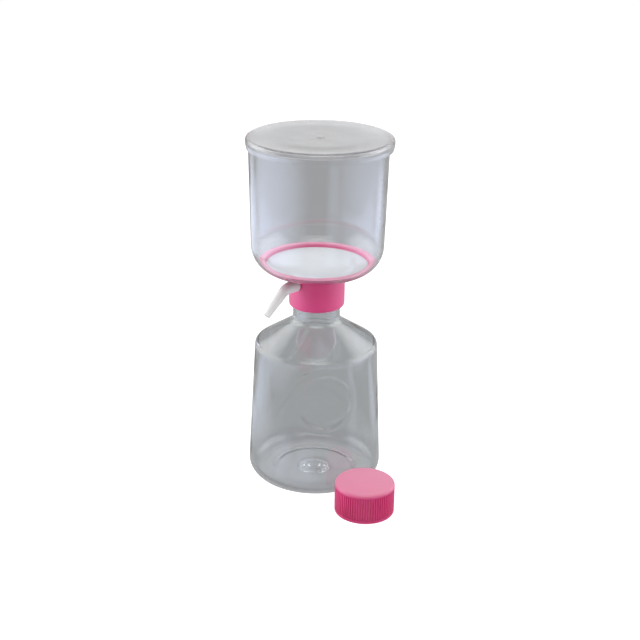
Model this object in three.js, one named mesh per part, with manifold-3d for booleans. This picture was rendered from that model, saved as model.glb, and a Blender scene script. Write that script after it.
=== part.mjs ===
// Vacuum filtration unit, in millimetres, +Z up.
// A clear receiver bottle carries a filter head: a pink support plate whose threaded collar screws
// onto the bottle neck, a clear funnel round the plate, the membrane disc that lies in the plate, and
// a loose lid. A bent hose nipple plugs into the collar, and the bottle's storage cap stands beside it.
// The origin is on the bottle's axis, on the plane that the bottle stands on.
import * as THREE from "three";
import { mergeVertices } from "three/addons/utils/BufferGeometryUtils.js";
import Module from "manifold-3d";

const wasm = await Module();
wasm.setup();

// ---------------------------------------------------------------- driving dimensions

// Receiver bottle
const BOTTLE_HEEL_RADIUS = 60.8;
const BOTTLE_SHOULDER_RADIUS = 54.6;
const BOTTLE_SHOULDER_HEIGHT = 127.8;
const BOTTLE_SHOULDER_RISE = 21.8;
const BOTTLE_WALL = 1.6;
const BOTTLE_BASE_THICKNESS = 2.4;
const BOTTLE_HEEL_FILLET = 13;
const BOTTLE_SHOULDER_FILLET = 5;
const BASE_RING_WIDTH = 9;
const BASE_PUSH_UP = 1.4;
const GATE_BUTTON_RADIUS = 4.5;
const GATE_RIDGE_RADIUS = 10.8;
const GATE_RIDGE_LIFT = 0.3;
const GATE_GROOVE_DEPTH = 1.6;
const GATE_GROOVE_FLANK = 3.2;
const INNER_RIDGE_FLANK = 4.2;
const INNER_GATE_DIP = 0.8;
const GRIP_RADIUS = 24;
const GRIP_DEPTH = 1.2;
const GRIP_HEIGHT = 92;
const GRIP_ANGLE = THREE.MathUtils.degToRad(-81);

// Bottle neck and the screw thread that the collar and the spare cap share
const NECK_RADIUS = 20.9;
const NECK_WALL = 2.2;
const NECK_HEIGHT = 29;
const NECK_FILLET = 8;
const THREAD_PITCH = 4;
const THREAD_TURNS = 1.75;
const THREAD_DEPTH = 1.4;
const THREAD_BEAD = 1.1;
const THREAD_CLEARANCE = 0.45;
const THREAD_LEAD_IN = 3.4;
const FEMALE_BEAD = 0.8;
const FEMALE_DEPTH = 1.15;
const THREAD_FADE = 0.08;

// Neck gasket
const GASKET_THICKNESS = 1.6;
const GASKET_OVERHANG = 0.5;
const GASKET_RIM_CLEARANCE = 0.5;

// Threaded collar, plenum and drip spout of the support plate
const COLLAR_WALL = 1.95;
const COLLAR_DEPTH = 17.2;
const COLLAR_CHAMFER_WIDTH = 1.7;
const COLLAR_CHAMFER_HEIGHT = 2.8;
const PLENUM_RADIUS = 16.8;
const HEAD_RISE = 14.2;
const PLATE_FLOOR = 2.6;
const DRAIN_RADIUS = 4;
const SPOUT_WALL = 1.8;
const SPOUT_REACH = 9;

// Support plate inside the funnel
const PLATE_RIM_HEIGHT = 7.9;
const PLATE_RIM_WIDTH = 5.3;
const PLATE_LAND_WIDTH = 4;
const RIB_COUNT = 20;
const RIB_WIDTH = 1.2;
const RIB_HEIGHT = 1.8;
const RIB_ROOT = 0.5;
const RIB_HUB_CLEARANCE = 4;
const SHORT_RIB_START = 18;
const PLATE_FIT = 0.35;

// Membrane
const MEMBRANE_THICKNESS = 0.4;
const MEMBRANE_CLEARANCE = 0.4;

// Funnel
const FUNNEL_BASE_RADIUS = 57.5;
const FUNNEL_RIM_RADIUS = 60.2;
const FUNNEL_HEIGHT = 118;
const FUNNEL_WALL = 1.6;
const FUNNEL_FILLET = 24.4;
const FUNNEL_FLANGE_WIDTH = 0.9;
const FUNNEL_FLANGE_HEIGHT = 2.4;
const COLLAR_HOLE_CLEARANCE = 0.4;

// Lid
const LID_THICKNESS = 2;
const LID_CLEARANCE = 1.3;
const LID_SKIRT_WALL = 1.1;
const LID_SKIRT_DEPTH = 7.8;
const LID_FILLET = 3.2;
const LID_DISH_DEPTH = 2.2;
const LID_FLAT_RADIUS = 22;
const LID_OFFSET = 0.9;
const LID_GATE_RADIUS = 4.2;
const LID_GATE_DEPTH = 0.5;

// Hose nipple, its socket in the collar and its fibre plug
const PORT_ANGLE = THREE.MathUtils.degToRad(225);
const PORT_RISE = 6.3;
const NIPPLE_RADIUS = 5.2;
const NIPPLE_TIP_RADIUS = 3;
const NIPPLE_BORE_RADIUS = 3.1;
const NIPPLE_TIP_BORE_RADIUS = 1.7;
const NIPPLE_SPIGOT_RADIUS = 3.9;
const NIPPLE_STRAIGHT = 13.5;
const NIPPLE_ARM = 29;
const NIPPLE_BEND = THREE.MathUtils.degToRad(42);
const NIPPLE_BEND_REACH = 6;
const NIPPLE_SHOULDER_GAP = 0.3;
const SOCKET_DEPTH = 5;
const SOCKET_CLEARANCE = 0.3;
const DUCT_RADIUS = 2.2;
const PLUG_LENGTH = 8;
const PLUG_CLEARANCE = 0.3;

// Spare cap, standing open end down beside the bottle
const CAP_HEIGHT = 27.4;
const CAP_TOP_THICKNESS = 2;
const CAP_WALL = 2.55;
const CAP_FILLET = 2.4;
const CAP_RIBS = 74;
const CAP_RIB_DEPTH = 0.85;
const CAP_LOWER_BAND = 2.2;
const CAP_UPPER_BAND = 3.6;
const CAP_SEAL_DEPTH = 3;
const CAP_SEAL_WALL = 1;
const CAP_SEAL_CLEARANCE = 0.4;
const CAP_ANGLE = THREE.MathUtils.degToRad(-59.6);
const CAP_GAP = 0.8;

// Gap between faces that rest on one another
const SEAT_GAP = 0.1;

// How far a solid that cuts or joins another runs past the face that it meets
const OVERRUN = 1;

// The most that a fillet may take of the shorter edge beside it, and the distance between
// two points that count as one
const FILLET_SHARE = 0.95;
const SAME_POINT = 1e-5;

// Facets
const TURNED_SIDES = 40;
const PANEL_SIDES = 24;
const TUBE_SIDES = 14;
const BEAD_SIDES = 6;
const THREAD_STEPS = 42;
const NIPPLE_STEPS = 14;
const DISH_STEPS = 10;
const FACET_ERROR = 0.15;

// ---------------------------------------------------------------- sizes that follow

const shoulderTop = BOTTLE_SHOULDER_HEIGHT + BOTTLE_SHOULDER_RISE;
const lipHeight = shoulderTop + NECK_HEIGHT;
const neckBore = NECK_RADIUS - NECK_WALL;
const threadBore = NECK_RADIUS + THREAD_DEPTH + THREAD_CLEARANCE;
const threadTop = lipHeight - THREAD_LEAD_IN;
const ledgeHeight = lipHeight + GASKET_THICKNESS + 2 * SEAT_GAP;
const collarRadius = threadBore + COLLAR_WALL;
const collarBottom = ledgeHeight - COLLAR_DEPTH;
const portHeight = ledgeHeight + PORT_RISE;
const funnelBottom = ledgeHeight + HEAD_RISE;
const funnelFloor = funnelBottom + FUNNEL_WALL;
const plateSeat = funnelFloor + SEAT_GAP;
const plateFloor = plateSeat + PLATE_FLOOR;
const plateRimTop = plateSeat + PLATE_RIM_HEIGHT;
const ribTop = plateFloor + RIB_HEIGHT;
const rimTop = funnelBottom + FUNNEL_HEIGHT;
const lidTop = rimTop + LID_THICKNESS;
const skirtBottom = rimTop - LID_SKIRT_DEPTH;
const flangeRadius = FUNNEL_RIM_RADIUS + FUNNEL_FLANGE_WIDTH;
const lidBore = flangeRadius + LID_CLEARANCE;
const lidRadius = lidBore + LID_SKIRT_WALL;
const capRadius = threadBore + CAP_WALL + CAP_RIB_DEPTH;
const capDistance = BOTTLE_HEEL_RADIUS + capRadius + CAP_GAP;

// ---------------------------------------------------------------- shape helpers

// The arc that rounds a corner of a profile: its centre, its angles and its radius, which is
// limited so that it stays within the two edges that meet at the corner.
function cornerArc(before, corner, after, fillet) {
  const here = new THREE.Vector2(corner[0], corner[1]);
  const toBefore = new THREE.Vector2(before[0], before[1]).sub(here);
  const toAfter = new THREE.Vector2(after[0], after[1]).sub(here);
  const shortest = Math.min(toBefore.length(), toAfter.length());
  toBefore.normalize();
  toAfter.normalize();
  const half = Math.acos(THREE.MathUtils.clamp(toBefore.dot(toAfter), -1, 1)) / 2;
  const reach = Math.min(fillet / Math.tan(half), shortest * FILLET_SHARE);
  const radius = reach * Math.tan(half);
  const bisector = toBefore.clone().add(toAfter).normalize();
  const centre = here.clone().addScaledVector(bisector, radius / Math.sin(half));
  const start = here.clone().addScaledVector(toBefore, reach).sub(centre).angle();
  const end = here.clone().addScaledVector(toAfter, reach).sub(centre).angle();
  let sweep = end - start;
  if (sweep > Math.PI) sweep -= 2 * Math.PI;
  if (sweep < -Math.PI) sweep += 2 * Math.PI;
  return { centre, radius, start, sweep };
}

function arcPoints({ centre, radius, start, sweep }) {
  const stepAngle = 2 * Math.acos(1 - Math.min(FACET_ERROR / radius, 1));
  const steps = Math.max(2, Math.ceil(Math.abs(sweep) / stepAngle));
  return Array.from({ length: steps + 1 }, (_, i) => {
    const angle = start + (sweep * i) / steps;
    return [centre.x + radius * Math.cos(angle), centre.y + radius * Math.sin(angle)];
  });
}

// Corners are [radius, height] or [radius, height, fillet].
function rounded(corners) {
  return corners.flatMap((corner, i) => {
    if (!corner[2]) return [corner];
    return arcPoints(cornerArc(corners[i - 1], corner, corners[i + 1], corner[2]));
  });
}

// A solid of revolution about Z. The corners run anticlockwise round the section, as seen with
// the radius to the right and the height up, and start and end on the axis or close on themselves.
function turned(corners) {
  const points = rounded(corners).map(([radius, height]) => new THREE.Vector2(radius, height));
  return new THREE.LatheGeometry(points, TURNED_SIDES).rotateX(Math.PI / 2);
}

function ring(corners) {
  return turned([...corners, corners[0]]);
}

function rod(radius, length, sides = TURNED_SIDES) {
  return new THREE.CylinderGeometry(radius, radius, length, sides);
}

// A rod along local X, from one distance from the axis to another.
function radialRod(radius, from, to, sides) {
  return rod(radius, to - from, sides).rotateZ(Math.PI / 2).translate((from + to) / 2, 0, 0);
}

// A closed tube along a curve, whose radius changes with the distance along it.
function swept(curve, radiusAt, steps, sides) {
  const frames = curve.computeFrenetFrames(steps, false);
  const positions = [];
  const indices = [];
  for (let i = 0; i <= steps; i += 1) {
    const centre = curve.getPointAt(i / steps);
    const radius = radiusAt(i / steps);
    for (let j = 0; j < sides; j += 1) {
      const angle = (2 * Math.PI * j) / sides;
      const point = centre.clone();
      point.addScaledVector(frames.normals[i], radius * Math.cos(angle));
      point.addScaledVector(frames.binormals[i], radius * Math.sin(angle));
      positions.push(point.x, point.y, point.z);
      if (i === steps) continue;
      const a = i * sides + j;
      const b = i * sides + ((j + 1) % sides);
      indices.push(a, b, a + sides, b, b + sides, a + sides);
    }
  }
  for (let j = 1; j < sides - 1; j += 1) {
    const last = steps * sides;
    indices.push(0, j + 1, j, last, last + j, last + j + 1);
  }
  const geometry = new THREE.BufferGeometry();
  geometry.setAttribute("position", new THREE.Float32BufferAttribute(positions, 3));
  geometry.setIndex(indices);
  return geometry;
}

function solid(geometry) {
  const bare = geometry.clone();
  bare.deleteAttribute("normal");
  bare.deleteAttribute("uv");
  const merged = mergeVertices(bare, SAME_POINT);
  const index = merged.index.array;
  const triangles = [];
  for (let i = 0; i < index.length; i += 3) {
    const [a, b, c] = index.slice(i, i + 3);
    if (a !== b && b !== c && c !== a) triangles.push(a, b, c);
  }
  const mesh = new wasm.Mesh({
    numProp: 3,
    vertProperties: Float32Array.from(merged.attributes.position.array),
    triVerts: Uint32Array.from(triangles),
  });
  return new wasm.Manifold(mesh);
}

function geometryOf(manifold) {
  const mesh = manifold.getMesh();
  const geometry = new THREE.BufferGeometry();
  geometry.setAttribute("position", new THREE.BufferAttribute(mesh.vertProperties, 3));
  geometry.setIndex(new THREE.BufferAttribute(mesh.triVerts, 1));
  geometry.computeVertexNormals();
  return geometry;
}

// The thread's right-handed helix, which runs out from a buried radius at both of its ends.
class Helix extends THREE.Curve {
  constructor(radius, buriedRadius, bottom) {
    super();
    this.radius = radius;
    this.buriedRadius = buriedRadius;
    this.bottom = bottom;
  }

  getPoint(t, target = new THREE.Vector3()) {
    const angle = 2 * Math.PI * THREAD_TURNS * t;
    const height = this.bottom + THREAD_PITCH * THREAD_TURNS * t;
    const out = Math.min(1, t / THREAD_FADE, (1 - t) / THREAD_FADE);
    const radius = THREE.MathUtils.lerp(this.buriedRadius, this.radius, out);
    return target.set(radius * Math.cos(angle), radius * Math.sin(angle), height);
  }
}

function threadBead(path, bead) {
  const points = new THREE.EllipseCurve(0, 0, bead, bead).getPoints(BEAD_SIDES);
  const section = new THREE.Shape(points.slice(1));
  return solid(new THREE.ExtrudeGeometry(section, { extrudePath: path, steps: THREAD_STEPS }));
}

// The bead inside a closure whose sealing face is at the given height. It follows the bottle's
// thread half a pitch lower.
function femaleThread(sealHeight, seatAboveLip) {
  const top = sealHeight - seatAboveLip - THREAD_LEAD_IN;
  const bottom = top - THREAD_PITCH * (THREAD_TURNS + 0.5);
  const radius = threadBore - FEMALE_DEPTH + FEMALE_BEAD;
  return threadBead(new Helix(radius, threadBore + FEMALE_BEAD, bottom), FEMALE_BEAD);
}

// ---------------------------------------------------------------- finishes

const clear = { color: 0xdfe6e8, roughness: 0.05, metalness: 0, transparent: true, opacity: 0.35 };
const pink = { color: 0xe0336f, roughness: 0.4, metalness: 0 };

function piece(name, geometry, finish) {
  const mesh = new THREE.Mesh(geometry, new THREE.MeshStandardMaterial(finish));
  mesh.name = name;
  return mesh;
}

// ---------------------------------------------------------------- receiver bottle

// The bottle's section, drawn in by an inset, from the axis on the base up to the top of the neck.
function bottleWall(inset, neckRadius, top, base) {
  const slope = BOTTLE_SHOULDER_RISE / (BOTTLE_SHOULDER_RADIUS - NECK_RADIUS);
  const drop = inset * Math.hypot(1, slope);
  const coneAt = (radius) => BOTTLE_SHOULDER_HEIGHT + slope * (BOTTLE_SHOULDER_RADIUS - radius) - drop;
  const shoulderRadius = BOTTLE_SHOULDER_RADIUS - inset;
  return [
    ...base,
    [BOTTLE_HEEL_RADIUS - inset, inset > 0 ? BOTTLE_BASE_THICKNESS : 0, BOTTLE_HEEL_FILLET - inset],
    [shoulderRadius, coneAt(shoulderRadius), BOTTLE_SHOULDER_FILLET],
    [neckRadius, coneAt(neckRadius), NECK_FILLET + inset],
    [neckRadius, top],
    [0, top],
  ];
}

// A plug that presses a shallow round grip panel into the body, deeper by the inset for the
// inside of the wall.
function gripPanel(angle, inset) {
  const depth = GRIP_DEPTH + inset;
  const core = [
    [0, 0],
    [BOTTLE_HEEL_RADIUS - depth, 0],
    [BOTTLE_SHOULDER_RADIUS - depth, BOTTLE_SHOULDER_HEIGHT],
    [0, BOTTLE_SHOULDER_HEIGHT],
  ];
  const from = BOTTLE_SHOULDER_RADIUS / 2;
  const to = BOTTLE_HEEL_RADIUS + OVERRUN;
  const panel = radialRod(GRIP_RADIUS + inset, from, to, PANEL_SIDES);
  panel.rotateZ(angle).translate(0, 0, GRIP_HEIGHT);
  return solid(panel).subtract(solid(turned(core)));
}

function bottle() {
  const ringOuter = BOTTLE_HEEL_RADIUS - BOTTLE_HEEL_FILLET;
  const base = [
    [0, 0],
    [GATE_BUTTON_RADIUS, 0],
    [GATE_BUTTON_RADIUS, GATE_GROOVE_DEPTH],
    [GATE_RIDGE_RADIUS - GATE_GROOVE_FLANK, GATE_GROOVE_DEPTH],
    [GATE_RIDGE_RADIUS, GATE_RIDGE_LIFT],
    [GATE_RIDGE_RADIUS + BASE_PUSH_UP, BASE_PUSH_UP],
    [ringOuter - BASE_RING_WIDTH - BASE_PUSH_UP, BASE_PUSH_UP],
    [ringOuter - BASE_RING_WIDTH, 0],
  ];
  const floor = BOTTLE_BASE_THICKNESS;
  const innerBase = [
    [0, floor + GATE_GROOVE_DEPTH - INNER_GATE_DIP],
    [GATE_RIDGE_RADIUS, floor + GATE_GROOVE_DEPTH],
    [GATE_RIDGE_RADIUS + INNER_RIDGE_FLANK, floor],
  ];
  let outside = solid(turned(bottleWall(0, NECK_RADIUS, lipHeight, base)));
  let inside = solid(turned(bottleWall(BOTTLE_WALL, neckBore, lipHeight + OVERRUN, innerBase)));
  for (const angle of [GRIP_ANGLE, GRIP_ANGLE + Math.PI]) {
    outside = outside.subtract(gripPanel(angle, 0));
    inside = inside.subtract(gripPanel(angle, BOTTLE_WALL));
  }
  const bottom = threadTop - THREAD_PITCH * THREAD_TURNS;
  const beadRadius = NECK_RADIUS + THREAD_DEPTH - THREAD_BEAD;
  const bead = threadBead(new Helix(beadRadius, NECK_RADIUS - THREAD_BEAD, bottom), THREAD_BEAD);
  return piece("bottle", geometryOf(outside.add(bead).subtract(inside)), clear);
}

// ---------------------------------------------------------------- neck gasket

function neckGasket() {
  const inner = neckBore - GASKET_OVERHANG;
  const outer = threadBore - GASKET_RIM_CLEARANCE;
  const section = [
    [inner, lipHeight + SEAT_GAP],
    [outer, lipHeight + SEAT_GAP],
    [outer, ledgeHeight - SEAT_GAP],
    [inner, ledgeHeight - SEAT_GAP],
  ];
  return piece("neck_gasket", ring(section), { color: 0xd9d9d6, roughness: 0.7, metalness: 0 });
}

// ---------------------------------------------------------------- funnel

function funnelInnerCorner() {
  const rim = [FUNNEL_RIM_RADIUS - FUNNEL_WALL, rimTop];
  const corner = [FUNNEL_BASE_RADIUS - FUNNEL_WALL, funnelFloor];
  return cornerArc(rim, corner, [0, funnelFloor], FUNNEL_FILLET - FUNNEL_WALL);
}

function funnel() {
  const hole = collarRadius + COLLAR_HOLE_CLEARANCE;
  const flangeBottom = rimTop - FUNNEL_FLANGE_HEIGHT;
  const section = [
    [hole, funnelBottom],
    [FUNNEL_BASE_RADIUS, funnelBottom, FUNNEL_FILLET],
    [FUNNEL_RIM_RADIUS, flangeBottom - FUNNEL_FLANGE_WIDTH],
    [flangeRadius, flangeBottom],
    [flangeRadius, rimTop - FUNNEL_FLANGE_WIDTH],
    [FUNNEL_RIM_RADIUS, rimTop],
    [FUNNEL_RIM_RADIUS - FUNNEL_WALL, rimTop],
    [FUNNEL_BASE_RADIUS - FUNNEL_WALL, funnelFloor, FUNNEL_FILLET - FUNNEL_WALL],
    [hole, funnelFloor],
  ];
  return piece("funnel", ring(section), clear);
}

// ---------------------------------------------------------------- support plate and collar

// The rounded underside of the plate, which lies in the funnel's corner, from the flat middle
// out and up to the rim.
function plateUnderside() {
  const corner = funnelInnerCorner();
  const radius = corner.radius - PLATE_FIT;
  const up = Math.asin((plateRimTop - corner.centre.y) / radius);
  const down = -Math.PI / 2;
  return { centre: corner.centre, radius, start: down, sweep: up - down };
}

function plateRimRadius() {
  const [radius] = arcPoints(plateUnderside()).at(-1);
  return radius;
}

function supportPlate() {
  const underside = plateUnderside();
  const spoutRadius = DRAIN_RADIUS + SPOUT_WALL;
  const rimInner = plateRimRadius() - PLATE_RIM_WIDTH;
  const landInner = rimInner - PLATE_LAND_WIDTH;
  const section = [
    [DRAIN_RADIUS, lipHeight - SPOUT_REACH],
    [spoutRadius, lipHeight - SPOUT_REACH],
    [spoutRadius, plateSeat],
    [PLENUM_RADIUS, plateSeat],
    [PLENUM_RADIUS, ledgeHeight],
    [threadBore, ledgeHeight],
    [threadBore, collarBottom],
    [collarRadius - COLLAR_CHAMFER_WIDTH, collarBottom],
    [collarRadius, collarBottom + COLLAR_CHAMFER_HEIGHT],
    [collarRadius, plateSeat],
    [underside.centre.x, plateSeat],
    ...arcPoints(underside),
    [rimInner, plateRimTop],
    [rimInner, ribTop],
    [landInner, ribTop],
    [landInner, plateFloor],
    [DRAIN_RADIUS, plateFloor],
  ];
  let plate = solid(ring(section));
  for (let i = 0; i < RIB_COUNT; i += 1) {
    const start = i % 2 ? SHORT_RIB_START : DRAIN_RADIUS + RIB_HUB_CLEARANCE;
    const end = landInner + RIB_ROOT;
    const rib = new THREE.BoxGeometry(end - start, RIB_WIDTH, RIB_HEIGHT + RIB_ROOT);
    rib.translate((start + end) / 2, 0, ribTop - (RIB_HEIGHT + RIB_ROOT) / 2);
    rib.rotateZ((2 * Math.PI * i) / RIB_COUNT);
    plate = plate.add(solid(rib));
  }
  const socketStart = collarRadius - SOCKET_DEPTH;
  const socketEnd = collarRadius + OVERRUN;
  const socket = radialRod(NIPPLE_SPIGOT_RADIUS + SOCKET_CLEARANCE, socketStart, socketEnd, TUBE_SIDES);
  const duct = radialRod(DUCT_RADIUS, PLENUM_RADIUS - OVERRUN, collarRadius, TUBE_SIDES);
  for (const cutter of [socket, duct]) {
    cutter.rotateZ(PORT_ANGLE).translate(0, 0, portHeight);
    plate = plate.subtract(solid(cutter));
  }
  plate = plate.add(femaleThread(ledgeHeight, ledgeHeight - lipHeight));
  return piece("support_plate", geometryOf(plate), pink);
}

// ---------------------------------------------------------------- membrane

function membrane() {
  const radius = plateRimRadius() - PLATE_RIM_WIDTH - MEMBRANE_CLEARANCE;
  const disc = rod(radius, MEMBRANE_THICKNESS).rotateX(Math.PI / 2);
  disc.translate(0, 0, ribTop + SEAT_GAP + MEMBRANE_THICKNESS / 2);
  return piece("membrane", disc, { color: 0xf4f5f3, roughness: 0.9, metalness: 0 });
}

// ---------------------------------------------------------------- lid

// The soft step from the lid's rim down to its flat middle, at the given height on the rim.
function dish(rimHeight) {
  const outer = FUNNEL_RIM_RADIUS - FUNNEL_WALL - LID_CLEARANCE;
  return Array.from({ length: DISH_STEPS + 1 }, (_, i) => {
    const share = i / DISH_STEPS;
    const sunk = (LID_DISH_DEPTH * (1 + Math.cos(Math.PI * share))) / 2;
    return [THREE.MathUtils.lerp(LID_FLAT_RADIUS, outer, share), rimHeight - sunk];
  });
}

function lid() {
  const flatTop = lidTop - LID_DISH_DEPTH;
  const section = [
    [0, flatTop - LID_THICKNESS],
    ...dish(rimTop),
    [lidBore, rimTop],
    [lidBore, skirtBottom],
    [lidRadius, skirtBottom],
    [lidRadius, lidTop, LID_FILLET],
    ...dish(lidTop).reverse(),
    [LID_GATE_RADIUS, flatTop],
    [LID_GATE_RADIUS - LID_GATE_DEPTH, flatTop - LID_GATE_DEPTH],
    [0, flatTop - LID_GATE_DEPTH],
  ];
  const mesh = piece("lid", turned(section), clear);
  mesh.position.x = LID_OFFSET;
  return mesh;
}

// ---------------------------------------------------------------- hose nipple and fibre plug

// The nipple's centre line from the collar's face, straight out and then bent down, in the
// port's own frame: X out of the collar, Z up, origin on the bottle's axis at the port's height.
function nipplePath(extra) {
  const face = collarRadius + NIPPLE_SHOULDER_GAP;
  const elbow = new THREE.Vector3(face + NIPPLE_STRAIGHT, 0, 0);
  const arm = new THREE.Vector3(Math.cos(NIPPLE_BEND), 0, -Math.sin(NIPPLE_BEND));
  const start = new THREE.Vector3(face - extra, 0, 0);
  const bendStart = elbow.clone().setX(elbow.x - NIPPLE_BEND_REACH);
  const bendEnd = elbow.clone().addScaledVector(arm, NIPPLE_BEND_REACH);
  const tip = elbow.clone().addScaledVector(arm, NIPPLE_ARM + extra);
  const path = new THREE.CurvePath();
  path.add(new THREE.LineCurve3(start, bendStart));
  path.add(new THREE.QuadraticBezierCurve3(bendStart, elbow, bendEnd));
  path.add(new THREE.LineCurve3(bendEnd, tip));
  return path;
}

function taper(from, to) {
  const bendShare = NIPPLE_STRAIGHT / (NIPPLE_STRAIGHT + NIPPLE_ARM);
  return (t) => from + (to - from) * Math.max(0, (t - bendShare) / (1 - bendShare));
}

function hoseNipple() {
  const face = collarRadius + NIPPLE_SHOULDER_GAP;
  const spigotEnd = collarRadius - SOCKET_DEPTH + SOCKET_CLEARANCE;
  const bodyTaper = taper(NIPPLE_RADIUS, NIPPLE_TIP_RADIUS);
  const body = solid(swept(nipplePath(0), bodyTaper, NIPPLE_STEPS, TUBE_SIDES));
  const spigot = solid(radialRod(NIPPLE_SPIGOT_RADIUS, spigotEnd, face + OVERRUN, TUBE_SIDES));
  const boreTaper = taper(NIPPLE_BORE_RADIUS, NIPPLE_TIP_BORE_RADIUS);
  const bore = solid(swept(nipplePath(SOCKET_DEPTH + OVERRUN), boreTaper, NIPPLE_STEPS, TUBE_SIDES));
  const finish = { color: 0xe9e6df, roughness: 0.45, metalness: 0, transparent: true, opacity: 0.85 };
  return piece("hose_nipple", geometryOf(body.add(spigot).subtract(bore)), finish);
}

function portPlug() {
  const start = collarRadius + NIPPLE_SHOULDER_GAP;
  const plug = radialRod(NIPPLE_BORE_RADIUS - PLUG_CLEARANCE, start, start + PLUG_LENGTH, TUBE_SIDES);
  return piece("port_plug", plug, { color: 0xd8c9a4, roughness: 0.95, metalness: 0 });
}

// ---------------------------------------------------------------- spare cap

function ribbedOutline(root, crest, count) {
  const points = [];
  const step = (2 * Math.PI) / count;
  for (let i = 0; i < count; i += 1) {
    for (const [share, radius] of [[0, crest], [0.5, root]]) {
      const angle = (i + share) * step;
      points.push(new THREE.Vector2(radius * Math.cos(angle), radius * Math.sin(angle)));
    }
  }
  return new THREE.Shape(points);
}

function spareCap() {
  const root = capRadius - CAP_RIB_DEPTH;
  const core = root - CAP_RIB_DEPTH;
  const upperBand = CAP_HEIGHT - CAP_UPPER_BAND;
  const seal = CAP_HEIGHT - CAP_TOP_THICKNESS;
  const sealOuter = neckBore - CAP_SEAL_CLEARANCE;
  const sealInner = sealOuter - CAP_SEAL_WALL;
  const skin = [
    [0, 0],
    [capRadius, 0],
    [capRadius, CAP_LOWER_BAND],
    [core, CAP_LOWER_BAND],
    [core, upperBand],
    [capRadius, upperBand],
    [capRadius, CAP_HEIGHT, CAP_FILLET],
    [0, CAP_HEIGHT],
  ];
  const hollow = [
    [0, -OVERRUN],
    [threadBore, -OVERRUN],
    [threadBore, seal],
    [sealOuter, seal],
    [sealOuter, seal - CAP_SEAL_DEPTH],
    [sealInner, seal - CAP_SEAL_DEPTH],
    [sealInner, seal],
    [0, seal],
  ];
  const ribs = new THREE.ExtrudeGeometry(ribbedOutline(root, capRadius, CAP_RIBS), {
    depth: upperBand - CAP_LOWER_BAND + 2 * RIB_ROOT,
    bevelEnabled: false,
  });
  ribs.translate(0, 0, CAP_LOWER_BAND - RIB_ROOT);
  const shell = solid(turned(skin)).add(solid(ribs)).subtract(solid(turned(hollow)));
  const mesh = piece("spare_cap", geometryOf(shell.add(femaleThread(seal, 0))), pink);
  mesh.position.set(capDistance * Math.cos(CAP_ANGLE), capDistance * Math.sin(CAP_ANGLE), 0);
  return mesh;
}

// ---------------------------------------------------------------- assembly

const port = new THREE.Group();
port.position.z = portHeight;
port.rotation.z = PORT_ANGLE;
port.add(hoseNipple(), portPlug());

const unit = new THREE.Group();
unit.add(bottle(), spareCap(), neckGasket(), supportPlate(), funnel(), membrane(), lid(), port);

export default unit;
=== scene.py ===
# %% [markdown]
# # A vacuum filtration unit
# This lesson dresses a vacuum filtration unit, the disposable kind that stands on a biology bench.
# Liquid is poured into the clear funnel, a pump pulls on the hose nipple, and the liquid passes the
# white membrane into the clear bottle. A pink cap waits beside it to close the bottle afterwards.
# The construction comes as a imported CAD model. It is loaded first and never changed, and every
# piece made below is fitted to its boxes.

# %% Load the frame
import math

import bpy
from mathutils import Matrix, Vector


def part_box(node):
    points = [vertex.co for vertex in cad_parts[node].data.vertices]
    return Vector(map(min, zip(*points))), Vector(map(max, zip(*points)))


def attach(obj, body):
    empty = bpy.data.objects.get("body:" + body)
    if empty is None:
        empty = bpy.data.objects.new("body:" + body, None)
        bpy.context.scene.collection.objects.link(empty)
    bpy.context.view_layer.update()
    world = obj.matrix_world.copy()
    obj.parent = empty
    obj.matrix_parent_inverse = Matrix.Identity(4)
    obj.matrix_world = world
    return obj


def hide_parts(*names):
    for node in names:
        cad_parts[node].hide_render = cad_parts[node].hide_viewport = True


mm = 0.001
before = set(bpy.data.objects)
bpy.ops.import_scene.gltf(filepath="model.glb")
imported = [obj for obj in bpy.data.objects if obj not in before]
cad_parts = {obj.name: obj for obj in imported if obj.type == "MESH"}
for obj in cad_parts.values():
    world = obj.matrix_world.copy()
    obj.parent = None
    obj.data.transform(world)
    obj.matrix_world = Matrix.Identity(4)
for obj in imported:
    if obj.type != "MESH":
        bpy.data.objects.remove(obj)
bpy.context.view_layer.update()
for name in sorted(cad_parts):
    low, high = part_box(name)
    print(f"{name}: {[round(side / mm, 1) for side in high - low]} mm")

# %% [markdown]
# ## The camera
# A long lens from a little over a metre keeps the funnel and the bottle close to their true
# proportions. The camera looks down on the lid, and leans by less than a degree.

# %% Set up the camera
AIM_HEIGHT = 153.75 * mm
CAMERA_DISTANCE = 1113.5 * mm
CAMERA_PITCH = math.radians(21.67)
CAMERA_LEAN = math.radians(0.88)
LENS_LENGTH = 70.44
SENSOR_WIDTH = 36
LENS_SHIFT = (0.0055, -0.0102)

camera_data = bpy.data.cameras.new("camera")
camera_data.lens = LENS_LENGTH
camera_data.sensor_width = SENSOR_WIDTH
camera_data.shift_x, camera_data.shift_y = LENS_SHIFT
camera = bpy.data.objects.new("camera", camera_data)
bpy.context.scene.collection.objects.link(camera)
back_and_up = Vector((0, -math.cos(CAMERA_PITCH), math.sin(CAMERA_PITCH)))
camera.location = Vector((0, 0, AIM_HEIGHT)) + CAMERA_DISTANCE * back_and_up
tilt = Matrix.Rotation(math.pi / 2 - CAMERA_PITCH, 3, "X")
camera.rotation_euler = (tilt @ Matrix.Rotation(CAMERA_LEAN, 3, "Z")).to_euler()
bpy.context.scene.camera = camera
print("camera at", [round(distance, 3) for distance in camera.location], "m")

# %% [markdown]
# ## Shader maths that reads as maths
# A shader is a net of nodes. The first class wraps one socket, so that a sum or a product adds its
# Math node by itself. The second holds the net, and its method called node makes any other node from
# its type, its settings and what goes into its sockets. The methods after it are short names.

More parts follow.
